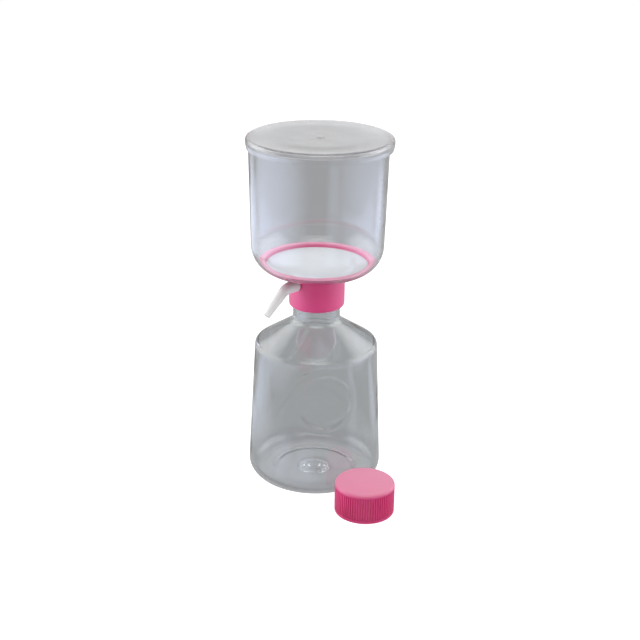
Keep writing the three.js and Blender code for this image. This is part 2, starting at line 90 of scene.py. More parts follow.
# %% A wire and a material to run it in
class Wire:
    """An output socket that can be used in sums and products."""

    def __init__(self, finish, socket):
        self.finish = finish
        self.socket = socket

    def maths(self, operation, *values):
        return self.finish.node("ShaderNodeMath", {"operation": operation}, dict(enumerate(values)))

    def __add__(self, other):
        return self.maths("ADD", self, other)

    def __sub__(self, other):
        return self.maths("SUBTRACT", self, other)

    def __rsub__(self, other):
        return self.maths("SUBTRACT", other, self)

    def __mul__(self, other):
        return self.maths("MULTIPLY", self, other)

    __radd__ = __add__
    __rmul__ = __mul__


class Finish:
    """A net of nodes, and the one method that adds a node to it."""

    def __init__(self, tree):
        self.tree = tree
        self.tree.nodes.clear()

    def node(self, kind, settings, sockets, output=0):
        made = self.tree.nodes.new(kind)
        for setting, value in settings.items():
            setattr(made, setting, value)
        for socket, value in sockets.items():
            if isinstance(value, Wire):
                self.tree.links.new(value.socket, made.inputs[socket])
            else:
                made.inputs[socket].default_value = value
        return Wire(self, made.outputs[output]) if made.outputs else None

    def ray(self, kind):
        return self.node("ShaderNodeLightPath", {}, {}, kind)

    def place(self):
        return self.node("ShaderNodeTexCoord", {}, {}, "Object")

    def climb(self, start, end):
        """A value that goes from 0 at one height to 1 at another."""
        height = self.node("ShaderNodeSeparateXYZ", {}, {"Vector": self.place()}, "Z")
        sockets = {"Value": height, "From Min": start, "From Max": end}
        return self.node("ShaderNodeMapRange", {}, sockets, "Result")

    def noise(self, scale, detail):
        sockets = {"Vector": self.place(), "Scale": scale, "Detail": detail}
        return self.node("ShaderNodeTexNoise", {}, sockets, "Fac")

    def blend(self, share, first, second):
        return self.node("ShaderNodeMix", {"data_type": "RGBA"}, {0: share, 6: first, 7: second}, 2)

    def bump(self, height, distance):
        sockets = {"Height": height, "Distance": distance, "Strength": 1.0}
        return self.node("ShaderNodeBump", {}, sockets, "Normal")

    def mix(self, share, first, second):
        return self.node("ShaderNodeMixShader", {}, {0: share, 1: first, 2: second})

    def principled(self, sockets):
        return self.node("ShaderNodeBsdfPrincipled", {}, sockets)

    def surface(self, shader, kind="ShaderNodeOutputMaterial"):
        self.node(kind, {}, {"Surface": shader})


def new_material(name):
    material = bpy.data.materials.new(name)
    material.use_nodes = True
    return material, Finish(material.node_tree)


def grey(level):
    return (level, level, level, 1)


print("shader helpers ready")

# %% [markdown]
# ## The studio
# The unit stands on a pale floor under soft light. Rays that come straight from the camera get a
# glow added, which makes the floor white without any more light on the object. Clear plastic is
# another matter: it would vanish against white. Rays that have passed through it see a plain grey
# floor instead, and so, in part, do rays that are mirrored by it, which keeps its edges dark.

# %% Lay the floor
STUDIO_GREY = 0.38
FLOOR_COLOUR = 0.78
FLOOR_GLOW = 0.75
MIRRORED_GREY = 0.7
FLOOR_SIZE = 14

bpy.ops.mesh.primitive_plane_add(size=FLOOR_SIZE, location=(0, 0, 0))
floor = bpy.context.object
floor.name = "floor"
material, finish = new_material("pale_floor")
shade = finish.node("ShaderNodeBsdfDiffuse", {}, {"Color": grey(FLOOR_COLOUR)})
glow_strength = FLOOR_GLOW * finish.ray("Is Camera Ray")
glow = finish.node("ShaderNodeEmission", {}, {"Color": grey(1), "Strength": glow_strength})
lit = finish.node("ShaderNodeAddShader", {}, {0: shade, 1: glow})
plain = finish.node("ShaderNodeEmission", {}, {"Color": grey(1), "Strength": STUDIO_GREY})
grey_share = finish.ray("Is Transmission Ray") + MIRRORED_GREY * finish.ray("Is Glossy Ray")
finish.surface(finish.mix(grey_share, lit, plain))
floor.data.materials.append(material)
print("floor colour", FLOOR_COLOUR, "and studio grey", STUDIO_GREY)

# %% [markdown]
# ## The air
# The world follows the same plan: white for the camera, the studio's grey behind clear plastic, and
# a slightly darker grey as the dim light from all round. Light crosses many faces of clear plastic,
# so the bounce limits are raised.

# %% Fill the world
AIR_GREY = 0.32
BOUNCES = 28
GLOSSY_BOUNCES = 20

world = bpy.data.worlds.new("studio")
bpy.context.scene.world = world
world.use_nodes = True
finish = Finish(world.node_tree)
for_camera = (1 - AIR_GREY) * finish.ray("Is Camera Ray")
for_plastic = (STUDIO_GREY - AIR_GREY) * finish.ray("Is Transmission Ray")
level = AIR_GREY + for_camera + for_plastic
air = finish.node("ShaderNodeBackground", {}, {"Color": grey(1), "Strength": level})
finish.surface(air, "ShaderNodeOutputWorld")
scene = bpy.context.scene
scene.view_settings.view_transform = "Standard"
scene.cycles.max_bounces = BOUNCES
scene.cycles.glossy_bounces = GLOSSY_BOUNCES
scene.cycles.transmission_bounces = BOUNCES
print("air grey", AIR_GREY, "and light bounces", BOUNCES)

# %% [markdown]
# ## Soft lamps
# A lamp is easier to plan by how bright its face looks than by its power, because the face is what
# shows in a gloss. So each lamp below is given a brightness, where 1 is white paper in full light,
# and its power is worked out from that and its area. Its face fades towards its edges, as a softbox
# does, so that no hard outline shows in the plastic. The fade multiplies both ways across the face
# by what is left of them, which gives one sixteenth in the middle.

# %% Make a lamp
FADE_PEAK = 16


def lamp(name, place, turn, size, brightness, colour=(1, 1, 1)):
    data = bpy.data.lights.new(name, "AREA")
    data.shape = "RECTANGLE"
    data.size, data.size_y = size
    data.color = colour
    data.energy = math.pi * size[0] * size[1] * brightness
    data.use_nodes = True
    finish = Finish(data.node_tree)
    face = finish.node("ShaderNodeNewGeometry", {}, {}, "Parametric")
    across = finish.node("ShaderNodeSeparateXYZ", {}, {"Vector": face}, "X")
    along = finish.node("ShaderNodeSeparateXYZ", {}, {"Vector": face}, "Y")
    fade = FADE_PEAK * across * (1 - across) * along * (1 - along)
    glow = finish.node("ShaderNodeEmission", {}, {"Strength": fade})
    finish.surface(glow, "ShaderNodeOutputLight")
    light = bpy.data.objects.new(name, data)
    bpy.context.scene.collection.objects.link(light)
    light.location = place
    light.rotation_euler = turn
    light.visible_camera = False


print("a lamp can be made")

# %% [markdown]
# ## Softboxes and cards
# One softbox hangs in front, one at each side, where the bottle's shoulder mirrors them, and one
# stands behind, for the flat tops of the lid and the cap. An upright wall seen from above mirrors
# the floor, so glowing cards lie there. Each card points away from the unit, because such a card
# shows as an upright streak in a round wall.

# %% Hang the softboxes and lay the cards
DAYLIGHT = (0.69, 0.77, 1.0)
CARD_HEIGHT = 4 * mm
# Each softbox has a name, a place, the point that it faces, a size and a brightness.
SOFTBOXES = [
    ("front_lamp", (0, -0.8, 1.4), (0, 0, 0.1), (1.6, 1.4), 2.4),
    ("back_lamp", (0, 1.3, 0.85), (0, 0, 0.2), (1.6, 1.15), 0.68),
    ("side_lamp", (-1.15, 0.3, 0.7), (0, 0, 0.2), (2.3, 1.5), 2.35),
    ("side_lamp", (1.15, 0.3, 0.7), (0, 0, 0.2), (2.3, 1.5), 2.35),
]
# Each card has a direction in degrees, a near end, a far end, a width and a brightness.
FLOOR_CARDS = [
    (-168, 0.27, 1.10, 1.4, 2.4),
    (168, 0.09, 0.50, 0.24, 1.1),
    (130, 0.45, 1.10, 0.45, 0.9),
    (34, 0.55, 1.10, 0.40, 0.7),
    (-28, 0.12, 0.52, 0.09, 0.8),
    (22, 0.10, 0.40, 0.08, 0.6),
    (-136, 0.065, 0.20, 0.09, 0.9),
    (-104, 0.065, 0.17, 0.07, 0.9),
    (-8, 0.33, 1.05, 1.4, 1.7),
    (-66, 0.40, 0.95, 0.28, 0.8),
]


def softbox(name, place, target, size, brightness):
    way = Vector(target) - Vector(place)
    lamp(name, place, way.to_track_quat("-Z", "Y").to_euler(), size, brightness)


def floor_card(azimuth, near, far, width, brightness):
    """A card that faces up, from one distance from the unit's axis to another."""
    turn = math.radians(azimuth)
    middle = (near + far) / 2
    place = (middle * math.cos(turn), middle * math.sin(turn), CARD_HEIGHT)
    lamp("floor_card", place, (math.pi, 0, turn), (far - near, width), brightness, DAYLIGHT)


for row in SOFTBOXES:
    softbox(*row)
for row in FLOOR_CARDS:
    floor_card(*row)
print(len(SOFTBOXES), "softboxes and", len(FLOOR_CARDS), "floor cards")

# %% [markdown]
# ## Clear plastic
# The bottle, the funnel and the lid are moulded from hard clear plastic. Light passes it, bends a
# little, and mirrors at both faces of the wall. A moulding is never quite flat, so a wide, very
# shallow noise moves the normal, and a second noise varies the polish. The bottle's base is thicker
# than its wall and has a deeper tint. Glass-like shaders throw hard shadows, so shadow rays go
# through a plain transparent shader with the same tint.

# %% Mix the clear plastic
CLEAR_REFRACTION = 1.57
THICK_BASE = 18 * mm
THICK_TINT = (0.82, 0.83, 0.865, 1)
BOTTLE_TINT = (0.915, 0.936, 0.947, 1)
FUNNEL_TINT = (0.93, 0.94, 0.955, 1)
LID_TINT = (0.95, 0.95, 0.955, 1)
HAZE_SCALE = 90.0
HAZE_SPREAD = 0.04


def clear_plastic(name, tint, polish, wave_scale, wave_depth, thick_tint=None):
    material, finish = new_material(name)
    upper_share = finish.climb(THICK_BASE / 2, THICK_BASE)
    waves = finish.noise(wave_scale, detail=1.0)
    haze = finish.noise(HAZE_SCALE, detail=3.0)
    sockets = {
        "Base Color": finish.blend(upper_share, thick_tint or tint, tint),
        "Roughness": polish + HAZE_SPREAD * haze,
        "IOR": CLEAR_REFRACTION,
        "Transmission Weight": 1.0,
        "Normal": finish.bump(waves, wave_depth),
    }
    open_way = finish.node("ShaderNodeBsdfTransparent", {}, {"Color": tint})
    finish.surface(finish.mix(finish.ray("Is Shadow Ray"), finish.principled(sockets), open_way))
    return material


bottle_look = {"polish": 0.02, "wave_scale": 28.0, "wave_depth": 0.5 * mm, "thick_tint": THICK_TINT}
bottle_clear = clear_plastic("bottle_clear", BOTTLE_TINT, **bottle_look)
funnel_look = {"polish": 0.01, "wave_scale": 20.0, "wave_depth": 0.3 * mm}
funnel_clear = clear_plastic("funnel_clear", FUNNEL_TINT, **funnel_look)
lid_look = {"polish": 0.12, "wave_scale": 24.0, "wave_depth": 0.3 * mm}
lid_clear = clear_plastic("lid_clear", LID_TINT, **lid_look)
print("clear plastics mixed")

# %% [markdown]
# ## Pink plastic
# The support plate with its collar and the spare cap are coloured right through, in a bright pink.
# A moulded surface has a fine grain, so a small noise bumps it and another makes its gloss uneven,
# and the colour swims a little from one place to the next. Towards the highest point of the plate's
# rim and of the cap's flat top the colour turns paler: a painted sheen, for the pale gloss that the
# light from above leaves on these tops.

# %% Mix the pink plastic
DEEP_PINK = (0.78, 0.025, 0.20, 1)
LIGHT_PINK = (0.84, 0.045, 0.25, 1)
# A painted sheen: the paler pink that the tops turn to, for the gloss of the light from above.
SHEEN_PINK = (0.82, 0.235, 0.385, 1)
SHEEN_BAND = 3 * mm
SWIRL_SCALE = 60.0
GLOSS_SCALE = 900.0
GLOSS_SPREAD = 0.12
GRAIN_SCALE = 2600.0


def moulded_plastic(name, rough, grain_depth, sheen_height):
    material, finish = new_material(name)
    colour = finish.blend(finish.noise(SWIRL_SCALE, detail=3.0), DEEP_PINK, LIGHT_PINK)
    # Painted sheen: the colour turns to the pale pink over a band just below the top.
    upper_share = finish.climb(sheen_height - SHEEN_BAND, sheen_height)
    gloss = finish.noise(GLOSS_SCALE, detail=2.0)
    grain = finish.noise(GRAIN_SCALE, detail=2.0)
    sockets = {
        "Base Color": finish.blend(upper_share, colour, SHEEN_PINK),
        "Roughness": rough + GLOSS_SPREAD * gloss,
        "IOR": 1.5,
        "Coat Weight": 0.6,
        "Coat Roughness": 0.45,
        "Sheen Weight": 0.25,
        "Sheen Roughness": 0.4,
        "Subsurface Weight": 0.15,
        "Subsurface Radius": (3 * mm, 1 * mm, 1.5 * mm),
        "Subsurface Scale": 1.0,
        "Normal": finish.bump(grain, grain_depth),
    }
    finish.surface(finish.principled(sockets))
    return material


plate_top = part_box("support_plate")[1].z
cap_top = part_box("spare_cap")[1].z
plate_pink = moulded_plastic("plate_pink", rough=0.30, grain_depth=0.02 * mm, sheen_height=plate_top)
cap_pink = moulded_plastic("cap_pink", rough=0.36, grain_depth=0.03 * mm, sheen_height=cap_top)
print("pink plastics mixed")

# %% [markdown]
# ## White film and milky plastic
# The membrane is a white film with a fine matt tooth, and its white is a little cloudy. The hose
# nipple is undyed plastic, milky and slightly see-through, so light also spreads inside it.

# %% Mix the film and the milky plastic
membrane_white, finish = new_material("membrane_white")
tooth = finish.noise(scale=3200.0, detail=4.0)
cloud = finish.noise(scale=90.0, detail=2.0)
finish.surface(finish.principled({
    "Base Color": finish.blend(cloud, (0.735, 0.75, 0.76, 1), (0.78, 0.79, 0.795, 1)),
    "Roughness": 0.78 + 0.15 * tooth,
    "Normal": finish.bump(tooth, distance=0.03 * mm),
}))

milky_plastic, finish = new_material("milky_plastic")
cloud = finish.noise(scale=140.0, detail=3.0)
grain = finish.noise(scale=1500.0, detail=2.0)
finish.surface(finish.principled({
    "Base Color": finish.blend(cloud, (0.90, 0.885, 0.86, 1), (0.95, 0.94, 0.92, 1)),
    "Roughness": 0.32 + 0.14 * grain,
    "IOR": 1.49,
    "Transmission Weight": 0.05,
    "Subsurface Weight": 0.5,
    "Subsurface Radius": (3 * mm, 3 * mm, 3 * mm),
    "Subsurface Scale": 1.0,
    "Normal": finish.bump(grain, distance=0.02 * mm),
}))
print("white finishes:", membrane_white.name, milky_plastic.name)

# %% [markdown]
# ## Rubber and fibre
# The gasket is grey silicone rubber with a little dust on it. The plug in the nipple is pressed
# fibre: its noise is squeezed along Z, so that it reads as fine hairs that lie flat.

# %% Mix the rubber and the fibre
HAIR_SQUEEZE = (1, 1, 5)

silicone_rubber, finish = new_material("silicone_rubber")
dust = finish.noise(scale=700.0, detail=4.0)
finish.surface(finish.principled({
    "Base Color": finish.blend(dust, (0.62, 0.62, 0.60, 1), (0.72, 0.72, 0.70, 1)),
    "Roughness": 0.5 + 0.2 * dust,
    "Normal": finish.bump(dust, distance=0.03 * mm),
}))

pressed_fibre, finish = new_material("pressed_fibre")
squeezed = finish.node("ShaderNodeMapping", {}, {"Vector": finish.place(), "Scale": HAIR_SQUEEZE})
hair_sockets = {"Vector": squeezed, "Scale": 900.0, "Detail": 5.0}
hairs = finish.node("ShaderNodeTexNoise", {}, hair_sockets, "Fac")
finish.surface(finish.principled({
    "Base Color": finish.blend(hairs, (0.60, 0.52, 0.38, 1), (0.84, 0.79, 0.68, 1)),
    "Roughness": 0.85 + 0.1 * hairs,
    "Sheen Weight": 0.4,
    "Normal": finish.bump(hairs, distance=0.2 * mm),
}))
print("seal finishes:", silicone_rubber.name, pressed_fibre.name)

# %% [markdown]
# ## Turning a piece on the lathe
# Nearly every piece here is round, as if turned on a lathe. The tool below starts from a circle and
# goes along an outline of radii and heights: it extrudes the ring, lifts it and scales it, once for
# every point, just as is done by hand with the E and S keys. A corner with a fillet becomes an arc.

# %% Outlines and the lathe
ARC_STEP = math.radians(9)
POLE = 1e-6


def arc(centre, radius, start, sweep):
    steps = max(2, math.ceil(abs(sweep) / ARC_STEP))
    angles = [start + sweep * step / steps for step in range(steps + 1)]
    x, y = centre
    return [(x + radius * math.cos(angle), y + radius * math.sin(angle)) for angle in angles]


def corner_arc(before, corner, after, fillet):
    """The arc that rounds a corner of an outline: its centre, radius, first angle and sweep."""
    here = Vector(corner)
    to_before = (Vector(before) - here).normalized()
    to_after = (Vector(after) - here).normalized()
    half = to_before.angle(to_after) / 2
    centre = here + (to_before + to_after).normalized() * fillet / math.sin(half)
    start, end = (here + way * fillet / math.tan(half) - centre for way in (to_before, to_after))
    sweep = math.atan2(start.x * end.y - start.y * end.x, start.dot(end))
    return centre, fillet, math.atan2(start.y, start.x), sweep


def rounded(corners):
    """An outline of (radius, height) points, where a third value rounds the corner."""
    points = []
    for number, (radius, height, *fillet) in enumerate(corners):
        if fillet:
            neighbours = corners[number - 1][:2], (radius, height), corners[number + 1][:2]
            points += arc(*corner_arc(*neighbours, fillet[0]))
        else:
            points.append((radius, height))
    return points


def lathe(name, corners, sides):
    """Extrudes and scales a circle along the outline. An end on the axis is closed by a pole, and an
    outline that returns to its start is closed into a ring."""
    outline = [(max(radius, POLE), height) for radius, height in rounded(corners)]
    (radius, height), *others = outline
    bpy.ops.object.select_all(action="DESELECT")
    bpy.ops.mesh.primitive_circle_add(vertices=sides, radius=radius, location=(0, 0, height))
    piece = bpy.context.object
    piece.name = name
    bpy.ops.object.transform_apply(location=True)
    bpy.ops.object.mode_set(mode="EDIT")
    for next_radius, next_height in others:
        bpy.ops.mesh.extrude_region_move(TRANSFORM_OT_translate={"value": (0, 0, next_height - height)})
        scale = next_radius / radius
        bpy.ops.transform.resize(value=(scale, scale, 1), center_override=(0, 0, 0))
        radius, height = next_radius, next_height
    bpy.ops.mesh.select_all(action="SELECT")
    bpy.ops.mesh.remove_doubles(threshold=2 * POLE)
    bpy.ops.mesh.normals_make_consistent(inside=False)
    bpy.ops.object.mode_set(mode="OBJECT")
    return piece


print("arc step", round(math.degrees(ARC_STEP)), "degrees")

# %% [markdown]
# ## Handing a piece over
# Every finished piece goes through the same last steps: its place moves into its mesh, it gets
# smooth shading that keeps real corners sharp, and it rides on its CAD body with its material.
# The CAD node that it stands for is hidden.

# %% Finish a piece
SMOOTH_ANGLE = math.radians(35)


def select_only(*pieces):
    bpy.ops.object.select_all(action="DESELECT")
    for piece in pieces:
        piece.select_set(True)
    bpy.context.view_layer.objects.active = pieces[0]


def finish_piece(piece, material, body, slot, *nodes):
    select_only(piece)
    bpy.ops.object.transform_apply(location=True, rotation=True, scale=True)
    bpy.ops.object.shade_smooth_by_angle(angle=SMOOTH_ANGLE)
    piece.data.materials.clear()
    piece.data.materials.append(material)
    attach(piece, body)
    if nodes:
        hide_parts(*nodes)
    size = [round(side / mm, 1) for side in piece.dimensions]
    print(f"{piece.name}: {size} mm, {len(piece.data.polygons)} faces, rides on {body}")


print("smooth up to", round(math.degrees(SMOOTH_ANGLE)), "degrees")

# %% [markdown]
# ## A screw thread
# The bottle's neck carries a round bead along a right-handed helix, and the collar and the cap have
# the same bead inside, half a turn lower. A Screw modifier winds a small circle up the axis. The
# bead's ends are pulled into the wall, so that the thread starts and stops softly.

# %% Wind a thread
THREAD_PITCH = 4 * mm
THREAD_TURNS = 1.75
THREAD_DEPTH = 1.4 * mm
THREAD_CLEARANCE = 0.45 * mm
THREAD_LEAD_IN = 3.4 * mm
THREAD_FADE = 0.08
BEAD_SIDES = 10
STEPS_PER_TURN = 56


def apply_modifier(piece, kind, **settings):
    select_only(piece)
    bpy.ops.object.modifier_add(type=kind)
    modifier = piece.modifiers[-1]
    for setting, value in settings.items():
        setattr(modifier, setting, value)
    bpy.ops.object.modifier_apply(modifier=modifier.name)


def thread_bead(radius, buried_radius, bead, bottom):
    bpy.ops.object.select_all(action="DESELECT")
    bpy.ops.mesh.primitive_circle_add(
        vertices=BEAD_SIDES, radius=bead, location=(radius, 0, bottom), rotation=(math.pi / 2, 0, 0)
    )
    piece = bpy.context.object
    bpy.ops.object.transform_apply(location=True, rotation=True)
    winding = {"axis": "Z", "angle": 2 * math.pi * THREAD_TURNS}
    climb = THREAD_PITCH * THREAD_TURNS
    steps = round(STEPS_PER_TURN * THREAD_TURNS)
    apply_modifier(piece, "SCREW", **winding, screw_offset=climb, steps=steps, render_steps=steps)
    rings = len(piece.data.vertices) // BEAD_SIDES
    for vertex in piece.data.vertices:
        along = (vertex.index // BEAD_SIDES) / (rings - 1)
        shown = min(1, along / THREAD_FADE, (1 - along) / THREAD_FADE)
        flat = Vector((vertex.co.x, vertex.co.y, 0))
        vertex.co += flat.normalized() * (buried_radius - radius) * (1 - shown)
    bpy.ops.object.mode_set(mode="EDIT")
    bpy.ops.mesh.select_all(action="SELECT")
    bpy.ops.mesh.fill_holes(sides=0)
    bpy.ops.mesh.normals_make_consistent(inside=False)
    bpy.ops.object.mode_set(mode="OBJECT")
    return piece


def join(piece, *others):
    select_only(piece, *others)
    bpy.ops.object.join()
    return piece


print("thread:", THREAD_TURNS, "turns, pitch", round(THREAD_PITCH / mm, 2), "mm")

# %% [markdown]
# ## The receiver bottle
# The bottle is one clear moulding: a body that narrows a little towards the shoulder, a sloping
# shoulder, a straight neck and a pushed-up base with the ring-shaped mark that moulding leaves in
# its middle, round a small button.

# %% Size the bottle
HEEL_RADIUS = 60.8 * mm
LIP_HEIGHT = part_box("bottle")[1].z
SHOULDER_RADIUS = 54.6 * mm
SHOULDER_HEIGHT = 127.8 * mm
NECK_HEIGHT = 29 * mm
NECK_RADIUS = 20.9 * mm
NECK_WALL = 2.2 * mm
WALL = 1.6 * mm
BASE_THICKNESS = 2.4 * mm
HEEL_FILLET = 13 * mm
SHOULDER_FILLET = 4 * mm
INNER_SHOULDER_FILLET = 7 * mm
NECK_FILLET = 8 * mm
LIP_FILLET = 0.5 * mm
BASE_RING = 9 * mm
PUSH_UP = 1.4 * mm
PUSH_UP_RUN = 6 * mm
PUSH_UP_FILLET = 9 * mm
MARK_RADIUS = 10.8 * mm
MARK_DEPTH = 1.6 * mm
MARK_LIP = 0.3 * mm
MARK_FILLET = 1 * mm
INNER_MARK_FILLET = 2 * mm
INNER_MARK_RUN = 4 * PUSH_UP
BUTTON_RADIUS = 4.5 * mm
BUTTON_FILLET = 0.8 * mm
BUTTON_FOOT_FILLET = 1.2 * mm

shoulder_top = LIP_HEIGHT - NECK_HEIGHT
slope = (shoulder_top - SHOULDER_HEIGHT) / (SHOULDER_RADIUS - NECK_RADIUS)
ring_outer = HEEL_RADIUS - HEEL_FILLET
neck_bore = NECK_RADIUS - NECK_WALL
print("body", round(2 * HEEL_RADIUS / mm, 1), "mm wide, lip", round(LIP_HEIGHT / mm, 1), "mm high")

# %% [markdown]
# ## The bottle's outline
# The outline goes once round the wall, from the base up the outside, over the lip and down the
# inside, so the plastic has a real thickness for light to bend in. A corner's third value is the
# fillet that rounds it.

# %% Turn the bottle
BODY_SIDES = 256


def shoulder_height(radius, inset):
    return SHOULDER_HEIGHT + slope * (SHOULDER_RADIUS - radius) - inset * math.hypot(1, slope)


outside = [
    (0, 0),
    (BUTTON_RADIUS, 0, BUTTON_FILLET),
    (BUTTON_RADIUS + MARK_DEPTH, MARK_DEPTH, BUTTON_FOOT_FILLET),
    (MARK_RADIUS - MARK_DEPTH, MARK_DEPTH, MARK_FILLET),
    (MARK_RADIUS, MARK_LIP, MARK_FILLET),
    (MARK_RADIUS + PUSH_UP, PUSH_UP, MARK_FILLET),
    (ring_outer - BASE_RING - PUSH_UP_RUN, PUSH_UP, PUSH_UP_FILLET),
    (ring_outer - BASE_RING, 0, PUSH_UP_FILLET),
    (HEEL_RADIUS, 0, HEEL_FILLET),
    (SHOULDER_RADIUS, SHOULDER_HEIGHT, SHOULDER_FILLET),
    (NECK_RADIUS, shoulder_height(NECK_RADIUS, 0), NECK_FILLET),
    (NECK_RADIUS, LIP_HEIGHT, LIP_FILLET),
]
inside = [
    (neck_bore, LIP_HEIGHT, LIP_FILLET),
    (neck_bore, shoulder_height(neck_bore, WALL), NECK_FILLET + WALL),
    (SHOULDER_RADIUS - WALL, shoulder_height(SHOULDER_RADIUS - WALL, WALL), INNER_SHOULDER_FILLET),
    (HEEL_RADIUS - WALL, BASE_THICKNESS, HEEL_FILLET - WALL),
    (MARK_RADIUS + INNER_MARK_RUN, BASE_THICKNESS, INNER_MARK_FILLET),
    (MARK_RADIUS, BASE_THICKNESS + MARK_DEPTH, INNER_MARK_FILLET),
    (BUTTON_RADIUS, BASE_THICKNESS + MARK_DEPTH / 2, INNER_MARK_FILLET),
    (0, BASE_THICKNESS + MARK_DEPTH / 2),
]
bottle = lathe("bottle_shell", outside + inside, BODY_SIDES)
print("bottle outline turned:", len(bottle.data.polygons), "faces")

# %% [markdown]
# ## Grip panels in the bottle
# Two shallow round panels are pressed into the body, one at the front and one at the back, so that a
# wet glove can hold it. The long wall faces are first cut into rows, so that there are points to
# move. The points inside each circle then sink by the panel's depth, and a smooth step makes the
# panel's edge. Blown plastic rounds that edge more on the inside, so the wall changes its thickness
# there, and the panel shows as a ring.

# %% Press the grip panels
GRIP_RADIUS = 24 * mm
GRIP_EDGE = 1.8 * mm
INNER_GRIP_EDGE = 14 * mm
GRIP_DEPTH = 1.2 * mm
GRIP_HEIGHT = 92 * mm
GRIP_ANGLE = math.radians(-81)
LONG_WALL = 50 * mm
WALL_ROWS = 70


def pick_edges(piece, wanted):
    """Selects those edges, by number, and stays in Edit Mode."""
    select_only(piece)
    bpy.ops.object.mode_set(mode="EDIT")
    bpy.ops.mesh.select_mode(type="EDGE")
    bpy.ops.mesh.select_all(action="DESELECT")
    bpy.ops.object.mode_set(mode="OBJECT")
    for number in wanted:
        piece.data.edges[number].select = True
    bpy.ops.object.mode_set(mode="EDIT")


def wall_middle(height):
    return HEEL_RADIUS + (SHOULDER_RADIUS - HEEL_RADIUS) * height / SHOULDER_HEIGHT - WALL / 2


def is_long_wall(edge):
    ends = [bottle.data.vertices[number].co for number in edge.vertices]
    return abs(ends[0].z - ends[1].z) > LONG_WALL


pick_edges(bottle, [edge.index for edge in bottle.data.edges if is_long_wall(edge)])
bpy.ops.mesh.subdivide(number_cuts=WALL_ROWS)
bpy.ops.object.mode_set(mode="OBJECT")
pressed = 0
for turn in (GRIP_ANGLE, GRIP_ANGLE + math.pi):
    outward = Vector((math.cos(turn), math.sin(turn), 0))
    sideways = Vector((-outward.y, outward.x, 0))
    for vertex in bottle.data.vertices:
        if vertex.co.dot(outward) <= 0:
            continue
        reach = math.hypot(vertex.co.dot(sideways), vertex.co.z - GRIP_HEIGHT)
        flat = Vector((vertex.co.x, vertex.co.y, 0))
        edge = GRIP_EDGE if flat.length > wall_middle(vertex.co.z) else INNER_GRIP_EDGE
        sunk = min(1, max(0, (GRIP_RADIUS + edge / 2 - reach) / edge))
        vertex.co -= flat.normalized() * GRIP_DEPTH * sunk * sunk * (3 - 2 * sunk)
        pressed += sunk > 0
print("points pressed into the grip panels:", pressed)

# %% [markdown]
# ## The bottle's thread
# The thread's bead is wound round the neck, just below the lip, and joined to the bottle.

# %% Add the bottle's thread
BEAD = 1.1 * mm

thread_radius = NECK_RADIUS + THREAD_DEPTH
thread_bottom = LIP_HEIGHT - THREAD_LEAD_IN - THREAD_PITCH * THREAD_TURNS
join(bottle, thread_bead(thread_radius - BEAD, NECK_RADIUS - BEAD, BEAD, thread_bottom))
finish_piece(bottle, bottle_clear, "receiver", "bottle_plastic", "bottle")

# %% [markdown]
# ## The neck gasket
# A flat silicone ring lies on the bottle's lip and keeps the vacuum in. Its section is a small
# rounded rectangle.

# %% Turn the gasket
low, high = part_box("neck_gasket")
GASKET_OVERHANG = 0.5 * mm
GASKET_ROUND = 0.4 * mm

gasket_inner = neck_bore - GASKET_OVERHANG
gasket_corners = [
    (gasket_inner + GASKET_ROUND, low.z),
    (high.x, low.z, GASKET_ROUND),
    (high.x, high.z, GASKET_ROUND),
    (gasket_inner, high.z, GASKET_ROUND),
    (gasket_inner, low.z, GASKET_ROUND),
    (gasket_inner + GASKET_ROUND, low.z),
]
gasket = lathe("gasket_ring", gasket_corners, sides=96)
finish_piece(gasket, silicone_rubber, "seal", "gasket_rubber", "neck_gasket")

# %% [markdown]
# ## The funnel
# The funnel is a clear cup that widens slightly towards its rim, with a large round corner at the
# bottom and a hole there for the pink collar. The outline returns to its start, so it closes into a
# ring. A narrow flange stiffens the rim and centres the lid.

# %% Turn the funnel
low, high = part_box("funnel")
FUNNEL_BOTTOM = low.z
RIM_HEIGHT = high.z
FLANGE_RADIUS = high.x
FLANGE_WIDTH = 0.9 * mm
FLANGE_HEIGHT = 2.4 * mm
FUNNEL_BASE_RADIUS = 57.5 * mm
FUNNEL_WALL = 1.6 * mm
FUNNEL_FILLET = 24.4 * mm
FLANGE_FOOT_FILLET = 0.6 * mm
FLANGE_FILLET = 0.3 * mm
INNER_RIM_FILLET = 0.4 * mm
COLLAR_WALL = 1.95 * mm
COLLAR_HOLE_CLEARANCE = 0.4 * mm

thread_bore = thread_radius + THREAD_CLEARANCE
collar_radius = thread_bore + COLLAR_WALL
rim_radius = FLANGE_RADIUS - FLANGE_WIDTH
flange_bottom = RIM_HEIGHT - FLANGE_HEIGHT
wall_top = flange_bottom - FLANGE_WIDTH
funnel_floor = FUNNEL_BOTTOM + FUNNEL_WALL
hole = collar_radius + COLLAR_HOLE_CLEARANCE
inner_rim = (rim_radius - FUNNEL_WALL, RIM_HEIGHT)
inner_corner = (FUNNEL_BASE_RADIUS - FUNNEL_WALL, funnel_floor)
inner_hole = (hole, funnel_floor)
funnel_corners = [
    (hole, FUNNEL_BOTTOM),
    (FUNNEL_BASE_RADIUS, FUNNEL_BOTTOM, FUNNEL_FILLET),
    (rim_radius, wall_top, FLANGE_FOOT_FILLET),
    (FLANGE_RADIUS, flange_bottom, FLANGE_FILLET),
    (FLANGE_RADIUS, RIM_HEIGHT - FLANGE_WIDTH, FLANGE_FILLET),
    (rim_radius, RIM_HEIGHT, FLANGE_FILLET),
    (*inner_rim, INNER_RIM_FILLET),
    (*inner_corner, FUNNEL_FILLET - FUNNEL_WALL),
    inner_hole,
    (hole, FUNNEL_BOTTOM),
]
funnel = lathe("funnel_cup", funnel_corners, sides=192)
finish_piece(funnel, funnel_clear, "filter_head", "funnel_plastic", "funnel")

# %% [markdown]
# ## The scale on the funnel
# A row of raised ticks with plain numbers climbs the right side of the cup. Each tick is a cube made
# into a short bar and cut into stretches, so that it can bend, and the numbers are text made into a
# mesh. All are made flat first and then wrapped: what was sideways becomes an angle round the wall.

